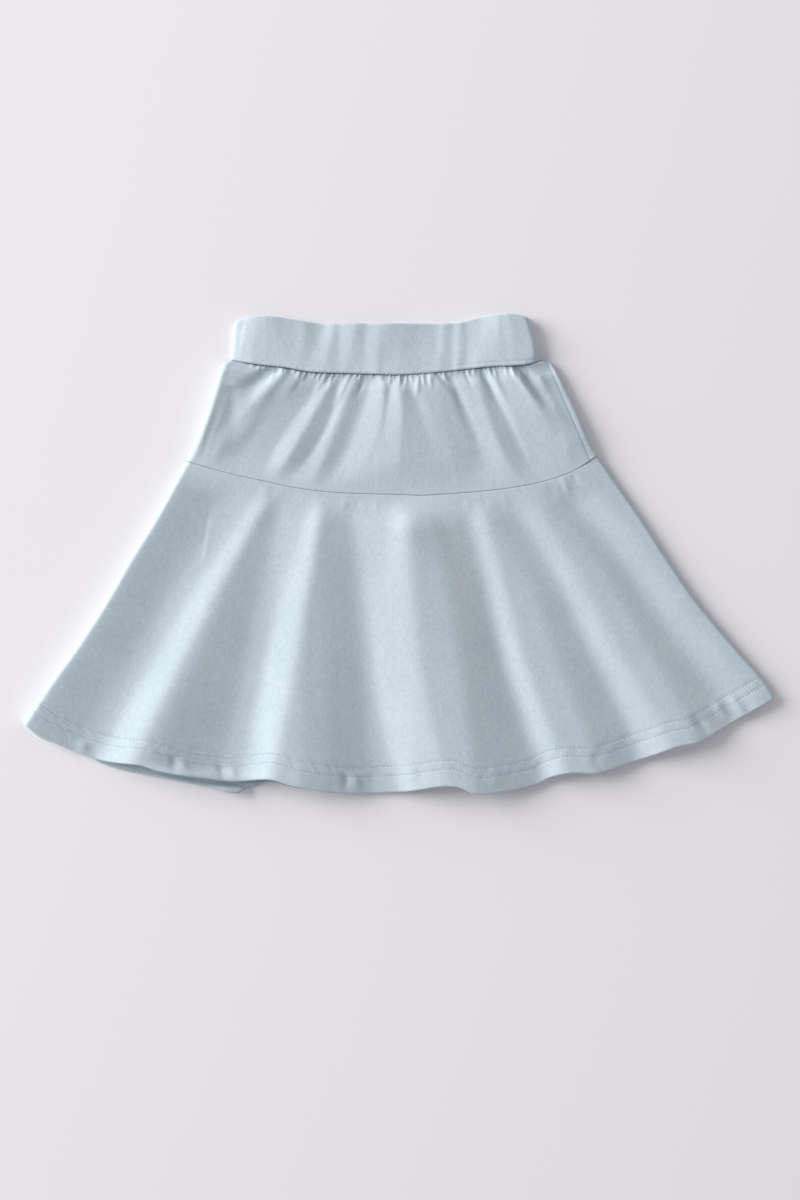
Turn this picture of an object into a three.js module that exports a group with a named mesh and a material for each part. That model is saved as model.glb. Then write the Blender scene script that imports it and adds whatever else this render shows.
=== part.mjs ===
// A child's pull-on skort in light blue cotton knit, laid flat with its front up.
// An elastic waistband carries a gathered hip yoke, a flared flounce with a turned-up hem,
// and a pair of inner shorts that lie hidden between the front and the back.
// Millimetres. X runs across the garment, Y from the hem to the waist, Z up from the surface.
// The origin is at the middle of the garment's box, on the surface it lies on.

import * as THREE from 'three';

// Cloth
const CLOTH = 1.2; // thickness of the knit
const HEM_DEPTH = 18; // the turned-up hem
const HEM_CLOTH = 2.2; // thickness where the hem is doubled
const BAND_CLOTH = 3.2; // two layers of knit with the elastic between them
const SHORTS_CLOTH = 1.0;
const SEAM_GAP = 0.32; // between pieces sewn to each other

// Heights of the outer face above the surface
const YOKE_SEAM_HEIGHT = 7.2;
const WAIST_SEAM_HEIGHT = 6.4;
const YOKE_PUFF = 2.0; // how far the gathered yoke stands up below the waistband
const BAND_HEIGHT = 7.6;
const WAIST_BACK_CLOTH = 1.6; // the back yoke is thicker where it is gathered in, and flat below

// Gathers along the waistband seam
const GATHER_SPACING = 5.8;
const GATHER_RELIEF = 0.5; // to each side of the middle
const GATHER_LENGTH = 0.22; // share of the yoke's length that they run down

// Rounded side edges, where the front turns down to meet the back
const ROLL_STEPS = 5;
const ROLL_WIDTH = { band: 4.2, waist: 6, seam: 8, hem: 9 };

// Seams and edges, as x and y
const BAND_TOP = [
  [-114.2, 161.4], [-110, 163.8], [-103, 165.2], [-92.7, 165.9], [-80.9, 164.8], [-70.4, 163.1],
  [-57.8, 161.3], [-47.4, 160.8], [-10, 160.7], [27.9, 160.9], [41.1, 161.5], [57.2, 165.2],
  [68.3, 166.9], [78.8, 167.3], [87.8, 165.9], [92.2, 164.2],
];
const WAIST_SEAM = [
  [-117, 134.9], [-98.3, 131.7], [-79.5, 129.7], [-61, 126.6], [-40.5, 125.7], [-20.9, 125.1],
  [1.4, 124.6], [30, 126.6], [51.6, 129], [66.3, 130.3], [80.2, 130.8], [90.7, 131.8], [100.3, 134.5],
];
const YOKE_SEAM = [
  [-148.3, 64.8], [-133.9, 60.3], [-112.9, 54.7], [-93.4, 50.5], [-73.9, 46.3], [-44.6, 42.6],
  [1.4, 41.1], [18.1, 40.6], [55.8, 43.1], [81.6, 46.2], [101.8, 50.3], [122.3, 57.5], [139.2, 68.3],
];
const FRONT_HEM = [
  [-262.3, -118.1], [-248.4, -127.9], [-212, -143.3], [-178.5, -147.5], [-166.2, -151.4],
  [-137.4, -156.3], [-115, -159.5], [-94.4, -157.2], [-86.1, -157.8], [-73, -161.9],
  [-40.5, -167.1], [1.4, -166.6], [31.5, -162.1], [43.1, -162.8], [53, -167.3], [63.5, -167.6],
  [94.7, -162], [107.7, -155.8], [120.7, -153], [140.3, -152.9], [175.5, -141.8], [196.1, -134.3],
  [210.3, -131.3], [238.4, -115.4], [263.3, -101],
];
const BACK_HEM = [
  [-262.3, -118.1], [-249.7, -128.6], [-220.6, -139], [-207.1, -147], [-184.7, -153.3],
  [-144.8, -161], [-112.6, -166.8], [-104.9, -165], [-93, -160.1], [-86.7, -160.1],
  [-73.5, -163.7], [-40.6, -166.4], [1.4, -165.9], [31.8, -161.6], [53.2, -165.8], [63.7, -166.2],
  [95.1, -161], [121.7, -152.6], [141.3, -152.2], [176.3, -140.6], [211.3, -130], [239.2, -114.3],
  [263.3, -101],
];
const BAND_SIDES = {
  left: [[-114.2, 161.4], [-116, 145.7], [-117, 134.9]],
  right: [[92.2, 164.2], [94, 157.6], [97.8, 145.7], [100.3, 134.5]],
};
const YOKE_SIDES = {
  left: [[-117, 134.9], [-121.3, 134], [-124.1, 130.5], [-129.4, 114.4], [-133.9, 100.4], [-141.6, 79.5], [-148.3, 64.8]],
  right: [[100.3, 134.5], [105.6, 134.2], [110.2, 128.4], [117.5, 114.4], [124.1, 100.4], [133.2, 79.5], [139.2, 68.3]],
};
const FLOUNCE_SIDES = {
  left: [[-148.3, 64.8], [-171.4, 23.5], [-188.8, -4.5], [-204.9, -32.4], [-222.8, -60.4], [-242.7, -88.4], [-262.3, -118.1]],
  right: [[139.2, 68.3], [170.3, 23.5], [188.5, -4.5], [207.7, -32.4], [230.8, -60.4], [255.3, -88.4], [263.3, -101]],
};

// Folds, left to right: where each line of the fold starts and ends, and its height.
// At the flounce the folds start at the yoke seam and open towards the hem.
const FLOUNCE_FOLDS = [
  { name: 'left valley', top: -125.5, end: -221, height: 5.2 },
  { name: 'first crest', top: -86, end: -180, height: 14 },
  { name: 'first valley', top: -71, end: -138, height: 5.8 },
  { name: 'second crest', top: -50, end: -91, height: 16 },
  { name: 'second valley', top: -33, end: -36, height: 5.2 },
  { name: 'second valley end', top: -26, end: -20, height: 5 },
  { name: 'third crest', top: 0, end: 13, height: 15.5 },
  { name: 'third crest end', top: 10, end: 34.5, height: 15 },
  { name: 'third valley', top: 30, end: 56, height: 5.2 },
  { name: 'third valley end', top: 36, end: 81, height: 5 },
  { name: 'fourth crest', top: 56, end: 115, height: 16 },
  { name: 'fourth crest end', top: 63, end: 139, height: 15.4 },
  { name: 'fourth valley', top: 76, end: 163, height: 5.4 },
  { name: 'fifth crest', top: 89, end: 186, height: 12.4 },
  { name: 'fifth crest end', top: 96, end: 204, height: 11.6 },
  { name: 'right valley', top: 113.5, end: 222, height: 5.8 },
  { name: 'last crest', top: 130, end: 248, height: 8.6 },
];
const FLOUNCE_EDGE_HEIGHT = { left: 8.4, right: 7.8 };
// The front flounce is one piece of cloth. It is held as a stretch for each flute, parted here.
const STRETCH_ENDS = ['first valley', 'second valley', 'third valley', 'fourth valley', 'right valley'];
// At the yoke they start in the gathers and die out at the yoke seam.
const YOKE_FOLDS = [
  { name: 'left crease', top: -93, end: -138, height: -1.2 },
  { name: 'left ridge', top: -80, end: -130, height: 1.4 },
  { name: 'deep left crease', top: -47, end: -100, height: -1.2 },
  { name: 'ridge 2', top: -42, end: -91, height: 1.8 },
  { name: 'crease 3', top: -35, end: -79, height: -1.1 },
  { name: 'ridge 3', top: -26, end: -66, height: 1.6 },
  { name: 'crease 4', top: -17, end: -52, height: -1 },
  { name: 'ridge 4', top: -9, end: -29, height: 1.4 },
  { name: 'crease 5', top: -4.5, end: -15, height: 0.2 },
  { name: 'ridge 5', top: 1, end: -2, height: 1.2 },
  { name: 'crease 6', top: 6, end: 24, height: -0.6 },
  { name: 'ridge 6', top: 24, end: 42, height: 0.8 },
  { name: 'deep middle crease', top: 33, end: 65, height: -1.2 },
  { name: 'ridge 7', top: 51, end: 82, height: 1.4 },
  { name: 'deep right crease', top: 60, end: 95, height: -1.1 },
  { name: 'ridge 8', top: 75.5, end: 109, height: 1 },
  { name: 'right crease', top: 87, end: 125.5, height: -1.4 },
];
const BAND_RIPPLES = { count: 9, height: 0.5 };

// Inner shorts: each leg is one piece, folded at its outer side and sewn at the middle
const SHORTS = {
  topLift: 0.45, // over the thicker gathered part of the back yoke
  rest: CLOTH + SEAM_GAP,
  layerGap: 0.3,
  left: {
    outer: [[-108, 133], [-117, 100], [-124, 40], [-129, -10], [-134, -46]],
    middle: [[-10.2, 125], [-8.4, -8], [-11, -28], [-15, -52]],
  },
  right: {
    outer: [[89, 132], [99, 100], [108, 40], [114, -10], [120, -46]],
    middle: [[-9.8, 125], [-8, -8], [-5, -28], [-1, -52]],
  },
};

const knit = new THREE.MeshStandardMaterial({ name: 'knit', color: '#bccdd6', roughness: 0.92, metalness: 0 });
const bandKnit = new THREE.MeshStandardMaterial({ name: 'band_knit', color: '#bccdd6', roughness: 0.9, metalness: 0 });
const shortsKnit = new THREE.MeshStandardMaterial({ name: 'shorts_knit', color: '#b4c6d0', roughness: 0.92, metalness: 0 });

const mix = THREE.MathUtils.lerp;
const smooth = THREE.MathUtils.smoothstep;
const ease = (t) => (1 - Math.cos(Math.PI * t)) / 2;

// A smooth curve y(x) through points that run from left to right.
function curveThrough(points) {
  const slope = (i) => {
    const before = points[Math.max(i - 1, 0)];
    const after = points[Math.min(i + 1, points.length - 1)];
    return (after[1] - before[1]) / (after[0] - before[0]);
  };
  return (x) => {
    let i = points.findIndex((p) => p[0] > x) - 1;
    if (i < 0) i = x <= points[0][0] ? 0 : points.length - 2;
    const [x0, y0] = points[i];
    const [x1, y1] = points[i + 1];
    const w = x1 - x0;
    const t = THREE.MathUtils.clamp((x - x0) / w, 0, 1);
    const a = slope(i) * w;
    const b = slope(i + 1) * w;
    return y0 + t * (a + t * (3 * (y1 - y0) - 2 * a - b + t * (a + b - 2 * (y1 - y0))));
  };
}

// An edge that runs across, as a function of the share of its width.
function acrossEdge(points) {
  const y = curveThrough(points);
  const first = points[0][0];
  const last = points.at(-1)[0];
  return (share) => {
    const x = mix(first, last, share);
    return new THREE.Vector2(x, y(x));
  };
}

// An edge that runs down, as a function of the share of its length.
function downEdge(points) {
  const curve = new THREE.CatmullRomCurve3(points.map(([x, y]) => new THREE.Vector3(x, y, 0)));
  return (share) => {
    const p = curve.getPointAt(THREE.MathUtils.clamp(share, 0, 1));
    return new THREE.Vector2(p.x, p.y);
  };
}

// An edge of straight runs, as a function of the share of its height.
function straightEdge(points) {
  return (share) => {
    const y = mix(points[0][1], points.at(-1)[1], THREE.MathUtils.clamp(share, 0, 1));
    const i = Math.max(1, points.findIndex((p) => p[1] <= y));
    const [x0, y0] = points[i - 1];
    const [x1, y1] = points[i];
    return new THREE.Vector2(mix(x0, x1, (y - y0) / (y1 - y0)), y);
  };
}

// The plan of a panel between its four edges. Each seam edge is drawn back by half the gap.
function panelPlan(top, end, left, right) {
  const corners = [top(0), top(1), end(0), end(1)];
  return (share, down) => {
    const p = top(share).multiplyScalar(1 - down);
    p.addScaledVector(end(share), down);
    p.addScaledVector(left(down), 1 - share);
    p.addScaledVector(right(down), share);
    p.addScaledVector(corners[0], -(1 - share) * (1 - down));
    p.addScaledVector(corners[1], -share * (1 - down));
    p.addScaledVector(corners[2], -(1 - share) * down);
    p.addScaledVector(corners[3], -share * down);
    p.y += SEAM_GAP * (down - 0.5);
    return p;
  };
}

// A wall of cloth. Its outer face goes through place(column, down), which gives the share of
// the panel's width and the height, and at a turned-down edge the side that it faces.
// Its inner face lies one thickness inside that.
function clothWall(name, material, plan, columns, rows, place, thickness, relief = () => 0) {
  const outer = [];
  const inner = [];
  const step = 0.002;
  rows.forEach((down, j) => {
    const section = [];
    for (let i = 0; i <= columns; i += 1) {
      const { share, height, faces } = place(i, down);
      const at = plan(share, down);
      const along = plan(share + step, down).sub(plan(share - step, down)).normalize();
      section.push({ at, along, height, faces });
    }
    section.forEach((point, i) => {
      const before = section[Math.max(i - 1, 0)];
      const after = section[Math.min(i + 1, columns)];
      let run = after.at.clone().sub(before.at).dot(point.along);
      let rise = after.height - before.height;
      if (point.faces) [run, rise] = [0, -point.faces];
      const length = Math.hypot(run, rise);
      const normal = new THREE.Vector3(
        (-rise * point.along.x) / length,
        (-rise * point.along.y) / length,
        run / length,
      );
      const surface = new THREE.Vector3(point.at.x, point.at.y, point.height);
      inner.push(surface.clone().addScaledVector(normal, -thickness(down)));
      outer.push(surface.addScaledVector(normal, relief(i, down)));
    });
  });

  const across = columns + 1;
  const offset = outer.length;
  const triangles = [];
  const quad = (a, b, c, d) => triangles.push(a, b, c, a, c, d);
  for (let j = 0; j < rows.length - 1; j += 1) {
    for (let i = 0; i < columns; i += 1) {
      const a = j * across + i;
      const b = a + across;
      quad(a, b, b + 1, a + 1);
      quad(offset + a, offset + a + 1, offset + b + 1, offset + b);
    }
    const left = j * across;
    const right = left + columns;
    quad(left, offset + left, offset + left + across, left + across);
    quad(right, right + across, offset + right + across, offset + right);
  }
  const last = (rows.length - 1) * across;
  for (let i = 0; i < columns; i += 1) {
    quad(i, i + 1, offset + i + 1, offset + i);
    quad(last + i, offset + last + i, offset + last + i + 1, last + i + 1);
  }

  const geometry = new THREE.BufferGeometry();
  geometry.setAttribute('position', new THREE.Float32BufferAttribute([...outer, ...inner].flatMap((p) => p.toArray()), 3));
  geometry.setIndex(triangles);
  geometry.computeVertexNormals();
  const mesh = new THREE.Mesh(geometry, material);
  mesh.name = name;
  return mesh;
}

// Columns of a front panel: a rounded edge, the lines of its folds, and a rounded edge.
// Each fold line gives a place and a height for every share of the way down.
function frontColumns(lines, stepsBetween, width, seat) {
  const places = [];
  const lineColumns = [];
  for (let k = 0; k < lines.length - 1; k += 1) {
    const steps = stepsBetween(lines[k], lines[k + 1]);
    lineColumns.push(places.length + ROLL_STEPS);
    for (let i = 0; i < steps; i += 1) {
      places.push((down) => {
        const a = lines[k](down);
        const b = lines[k + 1](down);
        return {
          share: mix(a.share, b.share, i / steps),
          height: mix(a.height, b.height, ease(i / steps)),
        };
      });
    }
  }
  places.push(lines.at(-1));
  const roll = (edge, side) => {
    for (let i = 0; i < ROLL_STEPS; i += 1) {
      const angle = ((i / ROLL_STEPS) * Math.PI) / 2;
      const place = (down) => {
        const inset = width(down) * (1 - Math.cos(angle));
        return {
          share: side === 'left' ? inset : 1 - inset,
          height: mix(seat(down), edge(down).height, Math.sin(angle)),
          faces: i > 0 ? 0 : (side === 'left' ? -1 : 1),
        };
      };
      if (side === 'left') places.splice(i, 0, place);
      else places.splice(places.length - i, 0, place);
    }
  };
  roll(lines[0], 'left');
  roll(lines.at(-1), 'right');
  return { count: places.length - 1, place: (i, down) => places[i](down), lineColumns };
}

const waist = acrossEdge(WAIST_SEAM);
const yokeSeam = acrossEdge(YOKE_SEAM);
const span = (points) => points.at(-1)[0] - points[0][0];
const shareOf = (x, points) => (x - points[0][0]) / span(points);

// Flounces
const hemStart = 1 - HEM_DEPTH / 215;
const flounceCloth = (down) => (down > hemStart ? HEM_CLOTH : CLOTH);
const flounceRows = [0, 0.035, 0.09, 0.17, 0.28, 0.4, 0.52, 0.64, 0.76, 0.86, hemStart, hemStart + 0.004, 0.96, 1];
const flounceSeat = (down) => flounceCloth(down) + SEAM_GAP;
const flounceRoll = (down) => mix(ROLL_WIDTH.seam / span(YOKE_SEAM), ROLL_WIDTH.hem / span(FRONT_HEM), down);

// Folds open quickly below the seam and then grow steadily to the hem.
const openBelowSeam = (down) => 0.42 * smooth(down, 0, 0.16) + 0.58 * down;

function flounceLine({ top, end, height }) {
  return (down) => ({
    share: mix(shareOf(top, YOKE_SEAM), shareOf(end, FRONT_HEM), down),
    height: mix(YOKE_SEAM_HEIGHT, height, openBelowSeam(down)),
  });
}

function frontFlounce() {
  const plan = panelPlan(yokeSeam, acrossEdge(FRONT_HEM), downEdge(FLOUNCE_SIDES.left), downEdge(FLOUNCE_SIDES.right));
  const edge = (share, height) => (down) => ({
    share: share(down),
    height: mix(YOKE_SEAM_HEIGHT, height, openBelowSeam(down)),
  });
  const lines = [
    edge(flounceRoll, FLOUNCE_EDGE_HEIGHT.left),
    ...FLOUNCE_FOLDS.map(flounceLine),
    edge((down) => 1 - flounceRoll(down), FLOUNCE_EDGE_HEIGHT.right),
  ];
  const steps = (a, b) => Math.max(2, Math.round((b(1).share - a(1).share) * 76));
  const columns = frontColumns(lines, steps, flounceRoll, flounceSeat);
  const halfGap = SEAM_GAP / 2 / span(FRONT_HEM);
  const ends = STRETCH_ENDS.map((name) => columns.lineColumns[1 + FLOUNCE_FOLDS.findIndex((fold) => fold.name === name)]);
  return [0, ...ends].map((first, k) => {
    const last = ends[k] ?? columns.count;
    const place = (i, down) => {
      const at = columns.place(first + i, down);
      if (i === 0 && first > 0) at.share += halfGap;
      if (first + i === last && last < columns.count) at.share -= halfGap;
      return at;
    };
    return clothWall(`flounce_front_${k + 1}`, knit, plan, last - first, flounceRows, place, flounceCloth);
  });
}

function backFlounce() {
  const plan = panelPlan(yokeSeam, acrossEdge(BACK_HEM), downEdge(FLOUNCE_SIDES.left), downEdge(FLOUNCE_SIDES.right));
  const columns = 54;
  const place = (i) => ({ share: 1 - i / columns, height: 0 });
  const rows = [0, 0.25, 0.5, 0.75, hemStart, hemStart + 0.004, 1];
  return clothWall('flounce_back', knit, plan, columns, rows, place, flounceCloth);
}

// Yokes
const yokeRows = [0, 0.05, 0.12, GATHER_LENGTH, 0.34, 0.48, 0.64, 0.82, 1];
const yokeRoll = (down) => mix(ROLL_WIDTH.waist / span(WAIST_SEAM), ROLL_WIDTH.seam / span(YOKE_SEAM), down);
const yokeBackCloth = (down) => mix(WAIST_BACK_CLOTH, CLOTH, smooth(down, 0, GATHER_LENGTH));
const yokeHeight = (down) => mix(WAIST_SEAM_HEIGHT, YOKE_SEAM_HEIGHT, down) + YOKE_PUFF * smooth(down, 0, 0.14) * (1 - smooth(down, 0.3, 1));
const foldShare = (down) => smooth(down, 0, 0.2) * (1 - smooth(down, 0.5, 1));
const gather = (i, down) => (i % 2 ? 1 : -1) * GATHER_RELIEF * (1 - smooth(down, 0.02, GATHER_LENGTH));

function frontYoke() {
  const plan = panelPlan(waist, yokeSeam, downEdge(YOKE_SIDES.left), downEdge(YOKE_SIDES.right));
  const line = ({ top, end, height }) => (down) => ({
    share: mix(shareOf(top, WAIST_SEAM), shareOf(end, YOKE_SEAM), down),
    height: yokeHeight(down) + height * foldShare(down),
  });
  const edge = (share) => (down) => ({ share: share(down), height: yokeHeight(down) });
  const lines = [edge(yokeRoll), ...YOKE_FOLDS.map(line), edge((down) => 1 - yokeRoll(down))];
  const steps = (a, b) => 2 * Math.max(1, Math.round(((b(0).share - a(0).share) * span(WAIST_SEAM)) / GATHER_SPACING));
  const columns = frontColumns(lines, steps, yokeRoll, (down) => yokeBackCloth(down) + SEAM_GAP);
  const relief = (i, down) => (i > ROLL_STEPS && i < columns.count - ROLL_STEPS ? gather(i, down) : 0);
  return clothWall('yoke_front', knit, plan, columns.count, yokeRows, columns.place, () => CLOTH, relief);
}

function backYoke() {
  const plan = panelPlan(waist, yokeSeam, downEdge(YOKE_SIDES.left), downEdge(YOKE_SIDES.right));
  const columns = 30;
  const place = (i) => ({ share: 1 - i / columns, height: 0 });
  return clothWall('yoke_back', knit, plan, columns, [0, 0.06, 0.13, GATHER_LENGTH, 0.6, 1], place, yokeBackCloth);
}

// Waistband
const bandRows = [0, 0.25, 0.5, 0.75, 1];

function frontBand() {
  const plan = panelPlan(acrossEdge(BAND_TOP), waist, downEdge(BAND_SIDES.left), downEdge(BAND_SIDES.right));
  const roll = () => ROLL_WIDTH.band / span(WAIST_SEAM);
  const last = 1 - roll();
  const lines = [() => ({ share: roll(), height: BAND_HEIGHT })];
  for (let i = 1; i < 2 * BAND_RIPPLES.count; i += 1) {
    const height = BAND_HEIGHT + (i % 2 ? 1 : -1) * BAND_RIPPLES.height;
    lines.push(() => ({ share: mix(roll(), last, i / (2 * BAND_RIPPLES.count)), height }));
  }
  lines.push(() => ({ share: last, height: BAND_HEIGHT }));
  const columns = frontColumns(lines, () => 2, roll, () => BAND_CLOTH + SEAM_GAP);
  return clothWall('waistband_front', bandKnit, plan, columns.count, bandRows, columns.place, () => BAND_CLOTH);
}

function backBand() {
  const plan = panelPlan(acrossEdge(BAND_TOP), waist, downEdge(BAND_SIDES.left), downEdge(BAND_SIDES.right));
  const columns = 24;
  const place = (i) => ({ share: 1 - i / columns, height: 0 });
  return clothWall('waistband_back', bandKnit, plan, columns, [0, 0.5, 1], place, () => BAND_CLOTH);
}

// Inner shorts. Share 0 is the folded outer side and share 1 the middle seam or the inseam.
function shortsLeg(side) {
  const shape = SHORTS[side];
  const hem = acrossEdge([shape.outer.at(-1), shape.middle.at(-1)].sort((a, b) => a[0] - b[0]));
  const onWaist = (share) => {
    const x = mix(shape.outer[0][0], shape.middle[0][0], share);
    return waist(shareOf(x, WAIST_SEAM));
  };
  const outerEdge = downEdge([onWaist(0).toArray(), ...shape.outer.slice(1)]);
  const middleEdge = straightEdge([onWaist(1).toArray(), ...shape.middle.slice(1)]);
  const heightOf = (y) => (shape.middle[0][1] - y) / (shape.middle[0][1] - shape.middle.at(-1)[1]);
  const turned = side === 'right';
  const towards = turned
    ? panelPlan((s) => onWaist(1 - s), hem, middleEdge, outerEdge)
    : panelPlan(onWaist, hem, outerEdge, middleEdge);
  const radius = SHORTS_CLOTH + SHORTS.layerGap / 2;
  const flatSteps = 6;
  const foldSteps = 6;
  const columns = 2 * flatSteps + foldSteps;
  const rows = [0, 0.08, 0.25, 0.5, ...shape.middle.slice(1).map(([, y]) => heightOf(y))];
  const place = (i, down) => {
    const width = Math.abs(middleEdge(down).x - outerEdge(down).x);
    const fold = radius / width;
    const floor = SHORTS.rest + SHORTS.topLift * (1 - smooth(down, 0, 0.12));
    const k = turned ? columns - i : i; // from the middle along the back, round the side, to the front
    let share;
    let height;
    if (k <= flatSteps) {
      share = mix(1, fold, k / flatSteps);
      height = floor;
    } else if (k < flatSteps + foldSteps) {
      const angle = (Math.PI * (k - flatSteps)) / foldSteps;
      share = fold * (1 - Math.sin(angle));
      height = floor + radius * (1 - Math.cos(angle));
    } else {
      share = mix(fold, 1, (k - flatSteps - foldSteps) / flatSteps);
      height = floor + 2 * radius;
    }
    return { share: turned ? 1 - share : share, height };
  };
  return clothWall(`shorts_${side}_leg`, shortsKnit, towards, columns, rows, place, () => SHORTS_CLOTH);
}

const skort = new THREE.Group();
skort.add(
  frontBand(),
  backBand(),
  frontYoke(),
  backYoke(),
  ...frontFlounce(),
  backFlounce(),
  shortsLeg('left'),
  shortsLeg('right'),
);

// The origin goes to the middle of the box, on the surface.
const box = new THREE.Box3().setFromObject(skort, true);
const middle = box.getCenter(new THREE.Vector3());
skort.position.set(-middle.x, -middle.y, -box.min.z);
skort.updateMatrixWorld(true);

export default skort;
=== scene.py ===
# A child's pull-on skort in light blue cotton knit, laid flat with its front up.
import math

import bpy
import numpy as np
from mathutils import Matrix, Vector


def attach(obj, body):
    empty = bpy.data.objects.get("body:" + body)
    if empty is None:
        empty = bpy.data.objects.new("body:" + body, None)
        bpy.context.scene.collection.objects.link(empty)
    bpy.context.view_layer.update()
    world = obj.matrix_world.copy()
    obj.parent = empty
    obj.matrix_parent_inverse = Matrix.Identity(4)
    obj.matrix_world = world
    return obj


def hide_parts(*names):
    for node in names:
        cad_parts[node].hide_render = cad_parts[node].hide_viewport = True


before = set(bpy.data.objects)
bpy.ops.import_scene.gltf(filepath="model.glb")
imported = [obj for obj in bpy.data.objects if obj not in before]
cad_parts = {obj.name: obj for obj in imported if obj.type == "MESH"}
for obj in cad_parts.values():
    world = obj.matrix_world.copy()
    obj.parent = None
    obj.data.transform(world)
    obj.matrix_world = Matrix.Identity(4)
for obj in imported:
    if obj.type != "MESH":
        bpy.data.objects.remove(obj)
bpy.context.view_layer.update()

# Front flounce
# A flared panel of cotton jersey, cut on a curve so that its hem is far longer than its seam.
# Laid flat, the spare length stands up in five soft flutes and a low one by the right edge.
# The hem is turned up 20 mm and stitched. Cloth is measured in millimetres, the rest in metres.

MM = 0.001
CLOTH = 1.2
HEM_CLOTH = 2.2
HEM_DEPTH = 20
# The hem thins to one layer over the first length, and is lifted onto the back hem over the next
HEM_STEP = 0.8
HEM_RAMP = 16
# Left open where two panels meet at a seam, and between stacked layers
SEAM_GAP = 0.14
LAYER_GAP = 0.3
# The middle of the outline in the tables below
OUTLINE_MIDDLE = np.array([0.5, -0.2])
YOKE_SEAM_HEIGHT = 7.2
# The front panels' faces stay this high above the surface where the shorts lie under them
SHORTS_HEIGHT = 5.3
# How softly a panel runs out on the layers under it
SOFT_CONTACT = 0.3
# Even steps across a panel for its folds
FOLD_SAMPLES = 1200
# The share of its thickness that a wall keeps at the very end of a rounded edge
THINNEST_EDGE = 0.06

YOKE_SEAM = [
    (-148.3, 64.8), (-133.9, 60.3), (-112.9, 54.7), (-93.4, 50.5), (-73.9, 46.3), (-44.6, 42.6),
    (1.4, 41.1), (18.1, 40.6), (55.8, 43.1), (81.6, 46.2), (101.8, 50.3), (122.3, 57.5), (139.2, 68.3),
]
FRONT_HEM = [
    (-262.3, -118.1), (-248.4, -127.9), (-212, -143.3), (-178.5, -147.5), (-166.2, -151.4),
    (-137.4, -156.3), (-115, -159.5), (-94.4, -157.2), (-86.1, -157.8), (-73, -161.9),
    (-40.5, -167.1), (1.4, -166.6), (31.5, -162.1), (43.1, -162.8), (53, -167.3), (63.5, -167.6),
    (94.7, -162), (107.7, -155.8), (120.7, -153), (140.3, -152.9), (175.5, -141.8), (196.1, -134.3),
    (210.3, -131.3), (238.4, -115.4), (263.3, -101),
]
FLOUNCE_LEFT = [
    (-148.3, 64.8), (-171.4, 23.5), (-188.8, -4.5), (-204.9, -32.4), (-222.8, -60.4),
    (-242.7, -88.4), (-262.3, -118.1),
]
FLOUNCE_RIGHT = [
    (139.2, 68.3), (170.3, 23.5), (188.5, -4.5), (207.7, -32.4), (230.8, -60.4),
    (255.3, -88.4), (263.3, -101),
]
# How much of each side is rolled down onto the back, at the seam and at the hem
FLOUNCE_ROLLS = {"left": (4, 4), "right": (1.4, 1.6)}
FLOUNCE_EDGES = {"left": {"high": 10.5, "low": 12}, "right": {"high": 3.2, "low": 4.9}}
FOLD_SOFTNESS = 3.6
# Towards its right edge the seam drops to the two layers' own thickness
SEAM_DROP = (1.6, 3.4)
FLOUNCE_DEPTH = 212

# Each fold line leaves the yoke seam at "top" and meets the hem at "end", with a bow between.
# "high" is its height just below the seam and "low" its height at the hem.
FLOUNCE_FOLDS = [
    {"top": -123.7, "bow": -3.4, "end": -227, "high": 6.3, "low": 5.3},
    {"top": -109.8, "bow": -7.5, "end": -218.9, "high": 4.6, "low": 4.8},
    {"top": -89.7, "bow": -13.3, "end": -209.2, "high": 6, "low": 4.8},
    {"top": -85.1, "bow": -8.2, "end": -185.5, "high": 9.4, "low": 16.6},
    {"top": -83.4, "bow": -5.7, "end": -175, "high": 8, "low": 16.3},
    {"top": -81.6, "bow": 0, "end": -138, "high": 6.8, "low": 7.1},
    {"top": -79.8, "bow": 0.6, "end": -125.5, "high": 6.4, "low": 4.8},
    {"top": -77.1, "bow": 7, "end": -112.1, "high": 7.1, "low": 4.8},
    {"top": -57.9, "bow": -6.5, "end": -101.4, "high": 8.3, "low": 7.9},
    {"top": -51.8, "bow": 1, "end": -89, "high": 12.8, "low": 16.6},
    {"top": -50.2, "bow": -4.3, "end": -66.4, "high": 11.9, "low": 16.6},
    {"top": -48.4, "bow": 2.8, "end": -49.6, "high": 10.6, "low": 13.6},
    {"top": -34.7, "bow": 4.1, "end": -18.2, "high": 8, "low": 4.8},
    {"top": -32.9, "bow": 4.8, "end": -2.3, "high": 8.1, "low": 4.8},
    {"top": -1.5, "bow": -13.4, "end": 2.4, "high": 11.4, "low": 6},
    {"top": 6, "bow": -4.1, "end": 10.9, "high": 15.8, "low": 11.7},
    {"top": 10.7, "bow": -7.5, "end": 33.5, "high": 15.8, "low": 16.6},
    {"top": 17.4, "bow": 9.4, "end": 51.5, "high": 13.2, "low": 16.6},
    {"top": 25.7, "bow": 9, "end": 70.9, "high": 10.6, "low": 12.1},
    {"top": 44.4, "bow": 0.9, "end": 101.2, "high": 7.2, "low": 4.8},
    {"top": 56.4, "bow": -2.3, "end": 114.9, "high": 10.1, "low": 12.8},
    {"top": 58.2, "bow": 12, "end": 137.7, "high": 8.6, "low": 12.4},
    {"top": 71, "bow": 12.7, "end": 167.5, "high": 6, "low": 4.8},
    {"top": 88.1, "bow": 6.9, "end": 188.3, "high": 8.6, "low": 12.3},
    {"top": 95.7, "bow": 13.6, "end": 207, "high": 6.6, "low": 12.3},
    {"top": 108.5, "bow": 10.3, "end": 232.3, "high": 3.4, "low": 4.6},
    {"top": 125.1, "bow": 6.9, "end": 254.1, "high": 6.6, "low": 7.6},
    {"top": 140.7, "bow": 6.3, "end": 263.8, "high": 4.9, "low": 6},
]


def smoothstep(value, low, high):
    t = np.clip((value - low) / (high - low), 0, 1)
    return t * t * (3 - 2 * t)


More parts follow.
